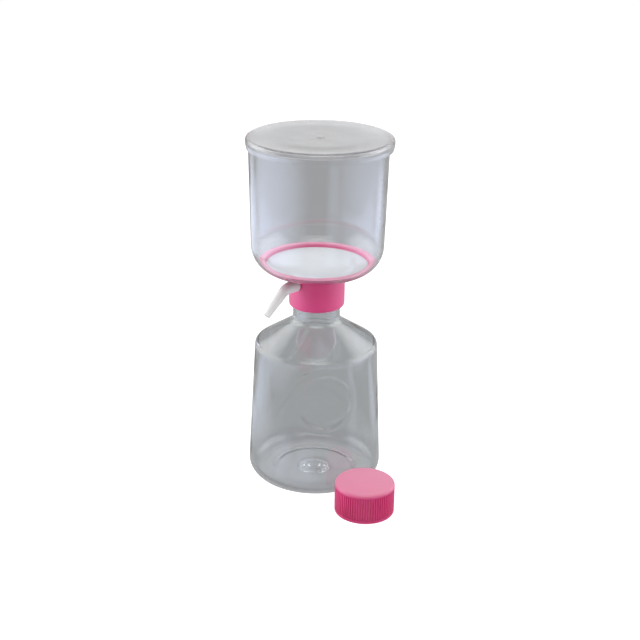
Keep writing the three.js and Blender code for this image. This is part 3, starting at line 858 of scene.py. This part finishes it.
# %% Raise the scale
SCALE_ANGLE = math.radians(-27)
SCALE_STEP = 9.4 * mm
SCALE_START = 12 * mm
SCALE_MARKS = 10
TICK_LENGTH = 5 * mm
SHORT_TICK = 2.8 * mm
TICK_HEIGHT = 0.5 * mm
TICK_DEPTH = 0.25 * mm
DIGIT_SIZE = 4.2 * mm
DIGIT_GAP = 1 * mm
FIRST_VOLUME = 100
VOLUME_STEP = 50


def wall_radius(height):
    share = (height - FUNNEL_BOTTOM) / (wall_top - FUNNEL_BOTTOM)
    return FUNNEL_BASE_RADIUS + (rim_radius - FUNNEL_BASE_RADIUS) * share


def tick(length, sideways, height):
    bpy.ops.object.select_all(action="DESELECT")
    bar = (length, TICK_DEPTH, TICK_HEIGHT)
    bpy.ops.mesh.primitive_cube_add(size=1, location=(sideways, 0, height), scale=bar)
    piece = bpy.context.object
    bpy.ops.object.transform_apply(location=True, scale=True)
    bpy.ops.object.mode_set(mode="EDIT")
    bpy.ops.mesh.subdivide(number_cuts=3)
    bpy.ops.object.mode_set(mode="OBJECT")
    return piece


def digits(text, sideways, height):
    bpy.ops.object.select_all(action="DESELECT")
    bpy.ops.object.text_add(location=(sideways, 0, height), rotation=(math.pi / 2, 0, 0))
    piece = bpy.context.object
    piece.data.body = text
    piece.data.size = DIGIT_SIZE
    piece.data.extrude = TICK_DEPTH / 2
    piece.data.align_x = "LEFT"
    piece.data.align_y = "CENTER"
    bpy.ops.object.convert(target="MESH")
    bpy.ops.object.transform_apply(location=True, rotation=True)
    return piece


marks = []
scale_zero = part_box("membrane")[1].z + SCALE_START
for number in range(2 * SCALE_MARKS):
    height = scale_zero + number * SCALE_STEP / 2
    length = TICK_LENGTH if number % 2 == 0 else SHORT_TICK
    marks.append(tick(length, length / 2, height))
    if number % 4 == 2:
        volume = FIRST_VOLUME + VOLUME_STEP * number
        marks.append(digits(str(volume), TICK_LENGTH + DIGIT_GAP, height))
scale = join(*marks)
scale.name = "funnel_scale"
for vertex in scale.data.vertices:
    radius = wall_radius(vertex.co.z) - vertex.co.y + TICK_DEPTH / 4
    angle = SCALE_ANGLE + vertex.co.x / rim_radius
    vertex.co = (radius * math.cos(angle), radius * math.sin(angle), vertex.co.z)
finish_piece(scale, lid_clear, "filter_head", "funnel_plastic")

# %% [markdown]
# ## The support plate and its collar
# One pink moulding does three jobs. Its collar screws onto the bottle, its plate closes the bottom of
# the funnel, and the raised rim round the plate holds the membrane. Below the plate a drip spout
# leads into the bottle's neck.

# %% Size the plate and the collar
low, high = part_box("support_plate")
PLATE_TOP = high.z
COLLAR_BOTTOM = low.z
PLATE_TOUCH = 0.02 * mm
SEAL_GAP = 0.1 * mm
SEAL_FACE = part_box("neck_gasket")[1].z + SEAL_GAP
PLATE_SEAT = funnel_floor - PLATE_TOUCH
PLATE_THICKNESS = 2.7 * mm
PLATE_FLOOR = funnel_floor + PLATE_THICKNESS
RIB_HEIGHT = 1.8 * mm
RIB_TOP = PLATE_FLOOR + RIB_HEIGHT
COLLAR_ROUND_WIDTH = 1.7 * mm
COLLAR_ROUND_HEIGHT = 2.8 * mm
COLLAR_ROUND_STEPS = 6
RIM_WIDTH = 5.3 * mm
RIM_FILLET = 0.6 * mm
LAND_WIDTH = 4 * mm
LAND_FILLET = 0.3 * mm
DRAIN_RADIUS = 4 * mm
DRAIN_FILLET = 0.6 * mm
SPOUT_RADIUS = 5.8 * mm
SPOUT_REACH = 9 * mm
SPOUT_BOTTOM = LIP_HEIGHT - SPOUT_REACH
SPOUT_FILLET = 0.5 * mm
PLENUM_RADIUS = 16.8 * mm
print("plate floor", round(PLATE_FLOOR / mm, 2), "mm high, rib tops", round(RIB_TOP / mm, 2), "mm")

# %% [markdown]
# ## The plate's outline
# The underside follows the round corner of the funnel, so it takes its arc from there, and the
# collar's lower edge is a quarter of an ellipse. The outline goes up the spout, down the thread's
# bore, round and up the collar, along the funnel to the rim, and back over the floor to the drain.

# %% Turn the plate and the collar
bowl_fillet = FUNNEL_FILLET - FUNNEL_WALL
bowl_centre, bowl_radius, _, _ = corner_arc(inner_rim, inner_corner, inner_hole, bowl_fillet)
bowl_radius += PLATE_TOUCH
bowl_end = math.asin((PLATE_TOP - bowl_centre.y) / bowl_radius)
underside = arc(bowl_centre, bowl_radius, -math.pi / 2, bowl_end + math.pi / 2)
plate_radius = underside[-1][0]
rim_inner = plate_radius - RIM_WIDTH
land_inner = rim_inner - LAND_WIDTH
collar_round = []
for step in range(COLLAR_ROUND_STEPS + 1):
    turn = math.pi / 2 * step / COLLAR_ROUND_STEPS
    radius = collar_radius - COLLAR_ROUND_WIDTH * (1 - math.sin(turn))
    collar_round.append((radius, COLLAR_BOTTOM + COLLAR_ROUND_HEIGHT * (1 - math.cos(turn))))
plate_corners = [
    (DRAIN_RADIUS, SPOUT_BOTTOM),
    (SPOUT_RADIUS, SPOUT_BOTTOM, SPOUT_FILLET),
    (SPOUT_RADIUS, PLATE_SEAT),
    (PLENUM_RADIUS, PLATE_SEAT),
    (PLENUM_RADIUS, SEAL_FACE),
    (thread_bore, SEAL_FACE),
    (thread_bore, COLLAR_BOTTOM),
    *collar_round,
    (collar_radius, PLATE_SEAT),
    *underside,
    (rim_inner, PLATE_TOP, RIM_FILLET),
    (rim_inner, RIB_TOP),
    (land_inner, RIB_TOP, LAND_FILLET),
    (land_inner, PLATE_FLOOR),
    (DRAIN_RADIUS, PLATE_FLOOR, DRAIN_FILLET),
    (DRAIN_RADIUS, SPOUT_BOTTOM),
]
plate = lathe("filter_plate", plate_corners, sides=160)
print("plate radius", round(plate_radius / mm, 2), "mm and collar", round(collar_radius / mm, 2), "mm")

# %% [markdown]
# ## The hose port
# The hose port is a stepped hole in the collar: a wide socket that takes the nipple, and a narrow
# duct behind it. Each is cut by a round cutter with a Boolean modifier.

# %% Cut the port
PORT_ANGLE = math.radians(225)
PORT_RISE = 6.3 * mm
PORT_HEIGHT = SEAL_FACE + PORT_RISE
SPIGOT_RADIUS = 3.9 * mm
SOCKET_DEPTH = 5 * mm
SOCKET_CLEARANCE = 0.3 * mm
DUCT_RADIUS = 2.2 * mm
CUT_MARGIN = 1 * mm


def port_cutter(radius, start, end):
    bpy.ops.object.select_all(action="DESELECT")
    bpy.ops.mesh.primitive_cylinder_add(
        vertices=48, radius=radius, depth=end - start, location=((start + end) / 2, 0, PORT_HEIGHT),
        rotation=(0, math.pi / 2, 0),
    )
    cutter = bpy.context.object
    bpy.ops.object.transform_apply(location=True, rotation=True)
    cutter.rotation_euler.z = PORT_ANGLE
    bpy.ops.object.transform_apply(rotation=True)
    return cutter


def cut(piece, cutter):
    apply_modifier(piece, "BOOLEAN", object=cutter, operation="DIFFERENCE")
    bpy.data.objects.remove(cutter)


socket_start = collar_radius - SOCKET_DEPTH
cut(plate, port_cutter(SPIGOT_RADIUS + SOCKET_CLEARANCE, socket_start, collar_radius + CUT_MARGIN))
cut(plate, port_cutter(DUCT_RADIUS, PLENUM_RADIUS - CUT_MARGIN, collar_radius))
print("port cut", round(PORT_HEIGHT / mm, 2), "mm high,", len(plate.data.polygons), "faces")

# %% [markdown]
# ## The plate's ribs and thread
# Radial ribs hold the membrane clear of the plate's floor, so that the liquid can run to the drain.
# Long and short ribs take turns. One of each is modelled and spun round the axis. Spin keeps the
# first one and adds a copy at each step, so one step less than the count fills the turn.

# %% Add the ribs and the thread
RIB_PAIRS = 10
RIB_WIDTH = 1.2 * mm
RIB_ROOT = 0.5 * mm
RIB_EDGE = 0.2 * mm
LONG_RIB_START = 8 * mm
SHORT_RIB_START = 18 * mm
FEMALE_BEAD = 0.8 * mm
FEMALE_DEPTH = 1.15 * mm
FEMALE_OFFSET_TURNS = 0.5


def spun_bar(start, end, low, high, width, edge, count, turn):
    """A bar along X with bevelled edges, copied round the axis by Spin."""
    bpy.ops.object.select_all(action="DESELECT")
    middle = ((start + end) / 2, 0, (low + high) / 2)
    bpy.ops.mesh.primitive_cube_add(size=1, location=middle, scale=(end - start, width, high - low))
    piece = bpy.context.object
    bpy.ops.object.transform_apply(location=True, scale=True)
    bpy.ops.object.mode_set(mode="EDIT")
    bpy.ops.mesh.bevel(offset=edge, segments=2, affect="EDGES")
    bpy.ops.mesh.select_all(action="SELECT")
    sweep = 2 * math.pi * (count - 1) / count
    bpy.ops.mesh.spin(steps=count - 1, dupli=True, angle=sweep, center=(0, 0, 0), axis=(0, 0, 1))
    bpy.ops.object.mode_set(mode="OBJECT")
    piece.rotation_euler.z = turn
    bpy.ops.object.transform_apply(rotation=True)
    return piece


def female_thread(seal_height, seat_above_lip):
    top = seal_height - seat_above_lip - THREAD_LEAD_IN
    bottom = top - THREAD_PITCH * (THREAD_TURNS + FEMALE_OFFSET_TURNS)
    radius = thread_bore - FEMALE_DEPTH + FEMALE_BEAD
    return thread_bead(radius, thread_bore + FEMALE_BEAD, FEMALE_BEAD, bottom)


rib_section = (land_inner + RIB_ROOT, PLATE_FLOOR - RIB_ROOT, RIB_TOP, RIB_WIDTH, RIB_EDGE)
long_ribs = spun_bar(LONG_RIB_START, *rib_section, RIB_PAIRS, 0)
short_ribs = spun_bar(SHORT_RIB_START, *rib_section, RIB_PAIRS, math.pi / RIB_PAIRS)
join(plate, long_ribs, short_ribs, female_thread(SEAL_FACE, SEAL_FACE - LIP_HEIGHT))
finish_piece(plate, plate_pink, "filter_head", "plate_plastic", "support_plate")

# %% [markdown]
# ## The membrane
# The membrane is a disc of white film that lies on the ribs inside the rim. It is thin and stiff
# enough to lie flat, so it is turned like the other round pieces, with a soft edge.

# %% Turn the membrane
low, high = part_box("membrane")
FILM_EDGE = 0.12 * mm

membrane_corners = [
    (0, low.z),
    (high.x, low.z, FILM_EDGE),
    (high.x, high.z, FILM_EDGE),
    (0, high.z),
]
membrane = lathe("membrane_disc", membrane_corners, sides=128)
finish_piece(membrane, membrane_white, "filter_head", "membrane", "membrane")

# %% [markdown]
# ## The lid
# A loose clear lid drops over the funnel's rim, and its skirt hangs down outside and narrows a
# little at its lower edge. Its top sinks in a soft curve to a flat middle. The point where the
# plastic entered the mould is left there as a small dimple with a stub in the middle. A cosine makes
# the soft step of both faces.

# %% Turn the lid
low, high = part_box("lid")
LID_SKIRT_WALL = 1.1 * mm
LID_ROUND = 3.2 * mm
LID_BORE_FILLET = 1.7 * mm
LID_DISH = 2.2 * mm
LID_FLAT_RADIUS = 22 * mm
DISH_STEPS = 16
LID_CLEARANCE = 1.3 * mm
LID_AIR = 0.05 * mm
SKIRT_TAPER = 0.9 * mm
SKIRT_TAPER_HEIGHT = 4 * mm
SKIRT_TAPER_FILLET = 2 * mm
SKIRT_INNER_EDGE = 0.2 * mm
SKIRT_OUTER_EDGE = 0.3 * mm
GATE_RADIUS = 4.2 * mm
GATE_DEPTH = 0.5 * mm
GATE_EDGE = 0.2 * mm
GATE_FOOT_EDGE = 0.3 * mm
STUB_RADIUS = 1.1 * mm
STUB_TOP_RADIUS = STUB_RADIUS * 0.7
STUB_HEIGHT = 0.4 * mm

lid_middle = (low.x + high.x) / 2
lid_radius = (high.x - low.x) / 2
lid_bore = lid_radius - LID_SKIRT_WALL
lid_seat = RIM_HEIGHT + LID_AIR
dish_radius = inner_rim[0] - LID_CLEARANCE
flat_top = high.z - LID_DISH
gate_floor = flat_top - GATE_DEPTH


def dish(rim_height):
    points = []
    for step in range(DISH_STEPS + 1):
        share = step / DISH_STEPS
        radius = LID_FLAT_RADIUS + (dish_radius - LID_FLAT_RADIUS) * share
        points.append((radius, rim_height - LID_DISH * (1 + math.cos(math.pi * share)) / 2))
    return points


lid_corners = [
    (0, lid_seat - LID_DISH),
    *dish(lid_seat),
    (lid_bore, lid_seat, LID_BORE_FILLET),
    (lid_bore, low.z + SKIRT_TAPER_HEIGHT, SKIRT_TAPER_FILLET),
    (lid_bore - SKIRT_TAPER, low.z, SKIRT_INNER_EDGE),
    (lid_radius - SKIRT_TAPER, low.z, SKIRT_OUTER_EDGE),
    (lid_radius, low.z + SKIRT_TAPER_HEIGHT, SKIRT_TAPER_FILLET),
    (lid_radius, high.z, LID_ROUND),
    *reversed(dish(high.z)),
    (GATE_RADIUS, flat_top, GATE_EDGE),
    (GATE_RADIUS - GATE_DEPTH, gate_floor, GATE_FOOT_EDGE),
    (STUB_RADIUS, gate_floor, GATE_EDGE),
    (STUB_TOP_RADIUS, gate_floor + STUB_HEIGHT, GATE_EDGE),
    (0, gate_floor + STUB_HEIGHT),
]
lid = lathe("lid_disc", lid_corners, sides=192)
lid.location.x = lid_middle
finish_piece(lid, lid_clear, "filter_head", "lid_plastic", "lid")

# %% [markdown]
# ## The nipple's route
# The nipple is a bent tube of milky plastic. Its route is a list of places, each with a turn and a
# radius: straight out of the collar, round the bend in small steps, and down the arm. It gets thinner
# from the bend to the tip, so that a hose slips on.

# %% Plan the nipple
NIPPLE_RADIUS = 5.2 * mm
TIP_RADIUS = 3 * mm
NIPPLE_EDGE = 0.3 * mm
NIPPLE_STRAIGHT = 13.5 * mm
NIPPLE_ARM = 29 * mm
NIPPLE_BEND = math.radians(42)
BEND_REACH = 6 * mm
BEND_STEPS = 10
ARM_STEPS = 8
NIPPLE_GAP = 0.3 * mm

nipple_face = collar_radius + NIPPLE_GAP
bend_start = nipple_face + NIPPLE_STRAIGHT - BEND_REACH
bend_radius = BEND_REACH / math.tan(NIPPLE_BEND / 2)
bend_centre = Vector((bend_start, 0, -bend_radius))
stretch = [
    (collar_radius - SOCKET_DEPTH + SOCKET_CLEARANCE, SPIGOT_RADIUS),
    (nipple_face, SPIGOT_RADIUS),
    (nipple_face, NIPPLE_RADIUS - NIPPLE_EDGE),
    (nipple_face + NIPPLE_EDGE, NIPPLE_RADIUS),
    (bend_start, NIPPLE_RADIUS),
]
route = [(Vector((along, 0, 0)), 0, radius) for along, radius in stretch]
bend_length = bend_radius * NIPPLE_BEND
arm_length = NIPPLE_ARM - BEND_REACH
taper_length = bend_length + arm_length


def taper(gone):
    return NIPPLE_RADIUS + (TIP_RADIUS - NIPPLE_RADIUS) * gone / taper_length


for step in range(1, BEND_STEPS + 1):
    turn = NIPPLE_BEND * step / BEND_STEPS
    spot = bend_centre + bend_radius * Vector((math.sin(turn), 0, math.cos(turn)))
    route.append((spot, turn, taper(bend_radius * turn)))
arm_way = Vector((math.cos(NIPPLE_BEND), 0, -math.sin(NIPPLE_BEND)))
bend_end = route[-1][0]
for step in range(1, ARM_STEPS + 1):
    gone = arm_length * step / ARM_STEPS
    route.append((bend_end + arm_way * gone, NIPPLE_BEND, taper(bend_length + gone)))
print("nipple route:", len(route), "places, tapered for", round(taper_length / mm, 1), "mm")

# %% [markdown]
# ## Pushing the nipple along its route
# A ring is extruded from place to place, turned in the bend and scaled. A Solidify modifier gives
# the tube its wall, and a bevel rounds its edges. It is made along X and then turned to its side.

# %% Push the nipple out and bend it
NIPPLE_WALL = 1.2 * mm
BEVEL_FROM = math.radians(50)

bpy.ops.object.select_all(action="DESELECT")
spot, turned, radius = route[0]
sideways = (0, math.pi / 2, 0)
bpy.ops.mesh.primitive_circle_add(vertices=48, radius=radius, location=spot, rotation=sideways)
nipple = bpy.context.object
nipple.name = "nipple_tube"
bpy.ops.object.transform_apply(location=True, rotation=True)
bpy.ops.object.mode_set(mode="EDIT")
for next_spot, next_turn, next_radius in route[1:]:
    bpy.ops.mesh.extrude_region_move(TRANSFORM_OT_translate={"value": next_spot - spot})
    if next_turn > turned:
        bpy.ops.transform.rotate(value=turned - next_turn, orient_axis="Y", center_override=next_spot)
    scale = next_radius / radius
    bpy.ops.transform.resize(value=(scale, scale, scale), center_override=next_spot)
    spot, turned, radius = next_spot, next_turn, next_radius
bpy.ops.mesh.select_all(action="SELECT")
bpy.ops.mesh.normals_make_consistent(inside=False)
bpy.ops.object.mode_set(mode="OBJECT")
apply_modifier(nipple, "SOLIDIFY", thickness=NIPPLE_WALL, offset=-1)
apply_modifier(nipple, "BEVEL", width=NIPPLE_EDGE, segments=3, angle_limit=BEVEL_FROM)
nipple.location.z = PORT_HEIGHT
nipple.rotation_euler.z = PORT_ANGLE
finish_piece(nipple, milky_plastic, "hose_port", "nipple_plastic", "hose_nipple")

# %% [markdown]
# ## The fibre plug
# A short plug of pressed fibre sits in the nipple and keeps spray out of the pump. It is a cylinder
# with softly rounded ends.

# %% Turn the plug
PLUG_RADIUS = 2.8 * mm
PLUG_LENGTH = 8 * mm
PLUG_ROUND = 0.6 * mm

plug_corners = [
    (0, 0),
    (PLUG_RADIUS, 0, PLUG_ROUND),
    (PLUG_RADIUS, PLUG_LENGTH, PLUG_ROUND),
    (0, PLUG_LENGTH),
]
plug = lathe("port_plug_fibre", plug_corners, sides=32)
plug.rotation_euler = (0, math.pi / 2, 0)
bpy.ops.object.transform_apply(rotation=True)
plug.location = (nipple_face * math.cos(PORT_ANGLE), nipple_face * math.sin(PORT_ANGLE), PORT_HEIGHT)
plug.rotation_euler.z = PORT_ANGLE
finish_piece(plug, pressed_fibre, "hose_port", "plug_fibre", "port_plug")

# %% [markdown]
# ## The spare cap
# The pink cap closes the bottle once the filter head is off. Its skirt has fine upright ribs between
# two plain bands, its top is flat with a round edge, and inside it has the thread and a thin ring
# that seals in the neck. One rib is a bevelled bar, spun round the skirt.

# %% Turn the cap and spin its ribs
low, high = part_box("spare_cap")
CAP_TOP = 2 * mm
CAP_ROUND = 2.4 * mm
CAP_INNER_ROUND = 0.6 * mm
CAP_RIBS = 74
CAP_RIB_DEPTH = 1.3 * mm
CAP_RIB_WIDTH = 1.15 * mm
CAP_RIB_EDGE = 0.35 * mm
LOWER_BAND = 2.2 * mm
UPPER_BAND = 3.6 * mm
BAND_EDGE = 0.3 * mm
SKIRT_EDGE = 0.4 * mm
SEAL_DEPTH = 3 * mm
SEAL_WALL = 1 * mm
SEAL_EDGE = 0.3 * mm
SEAL_CLEARANCE = 0.4 * mm

cap_radius = (high.x - low.x) / 2
cap_middle = Vector(((low.x + high.x) / 2, (low.y + high.y) / 2, 0))
seal_height = high.z - CAP_TOP
seal_outer = neck_bore - SEAL_CLEARANCE
groove = cap_radius - CAP_RIB_DEPTH
band_bottom = high.z - UPPER_BAND
cap_corners = [
    (0, high.z),
    (cap_radius, high.z, CAP_ROUND),
    (cap_radius, band_bottom, BAND_EDGE),
    (groove, band_bottom),
    (groove, LOWER_BAND),
    (cap_radius, LOWER_BAND, BAND_EDGE),
    (cap_radius, 0, SKIRT_EDGE),
    (thread_bore, 0, SKIRT_EDGE),
    (thread_bore, seal_height, CAP_INNER_ROUND),
    (seal_outer, seal_height),
    (seal_outer, seal_height - SEAL_DEPTH, SEAL_EDGE),
    (seal_outer - SEAL_WALL, seal_height - SEAL_DEPTH, SEAL_EDGE),
    (seal_outer - SEAL_WALL, seal_height),
    (0, seal_height),
]
cap = lathe("cap_shell", cap_corners, sides=148)
reach = CAP_RIB_DEPTH / 2
rib_ends = (LOWER_BAND - reach, band_bottom + reach)
ribs = spun_bar(groove - reach, cap_radius, *rib_ends, CAP_RIB_WIDTH, CAP_RIB_EDGE, CAP_RIBS, 0)
join(cap, ribs, female_thread(seal_height, 0))
cap.location = cap_middle
finish_piece(cap, cap_pink, "receiver", "cap_plastic", "spare_cap")

# %% Finish
print("all pieces made")
